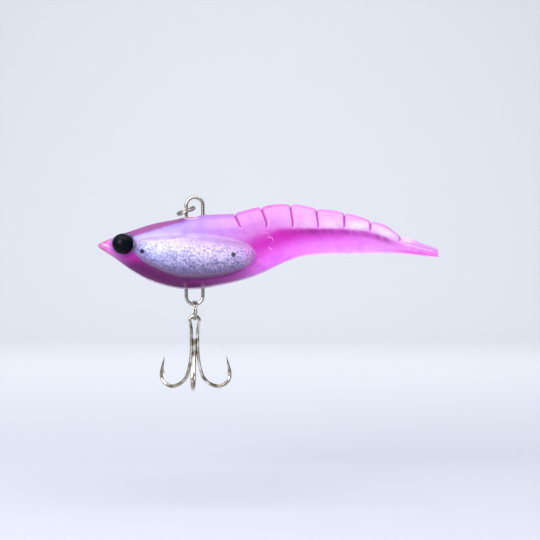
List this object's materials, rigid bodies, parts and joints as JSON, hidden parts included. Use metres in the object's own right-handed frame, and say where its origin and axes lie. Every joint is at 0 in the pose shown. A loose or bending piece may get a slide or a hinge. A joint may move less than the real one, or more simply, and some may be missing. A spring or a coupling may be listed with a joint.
{
  "type": "soft plastic prawn lure on a jig head",
  "caption": "Prawn-shaped soft lure moulded over a lead jig head, with a wire line tie, split rings, bead eyes and a hanging treble hook.",
  "frame": {"origin": "centre of the line tie's eye, above the back", "axes": "+X to the tail, +Z to the back, y = 0 the plane of symmetry; stored as it hangs on its line"},
  "size_m": [0.0897, 0.017, 0.051],
  "materials": {
    "soft_plastic": "translucent pink plastisol, glossy from the mould",
    "painted_lead": "white to lilac paint with grey-violet speckle",
    "bright_wire": "bright drawn stainless wire",
    "hook_steel": "tinned high-carbon steel",
    "solder": "dull tin solder",
    "black_bead": "glossy black bead"
  },
  "bodies": {
    "lure": {"soft_body": "soft_plastic", "lead_weight": "painted_lead", "wire_frame": "bright_wire", "left_eye": "black_bead", "right_eye": "black_bead", "eye_pin": "bright_wire"},
    "tail": {"soft_tail": "soft_plastic"},
    "line_ring": {"line_ring": "bright_wire"},
    "hook_ring": {"hook_ring": "bright_wire"},
    "treble": {"hook_pair": "hook_steel", "third_hook": "hook_steel", "solder_seam": "solder"}
  },
  "joints": [
    {"name": "line_ring_swing", "type": "hinge", "parent": "lure", "child": "line_ring", "pos_m": [0, 0, 0], "axis": [0, 1, 0], "range_deg": [0, 210]},
    {"name": "hook_ring_swing", "type": "hinge", "parent": "lure", "child": "hook_ring", "pos_m": [0, 0, -0.0261], "axis": [1, 0, 0], "range_deg": [-60, 60]},
    {"name": "hook_swing", "type": "hinge", "parent": "hook_ring", "child": "treble", "pos_m": [0, 0, -0.03008], "axis": [0, 1, 0], "range_deg": [-65, 65]},
    {"name": "tail_flex", "type": "hinge", "parent": "lure", "child": "tail", "pos_m": [0.025, 0, -0.007], "axis": [0, 0, 1], "range_deg": [-30, 30], "stiffness_Nm_per_rad": 0.004}
  ]
}
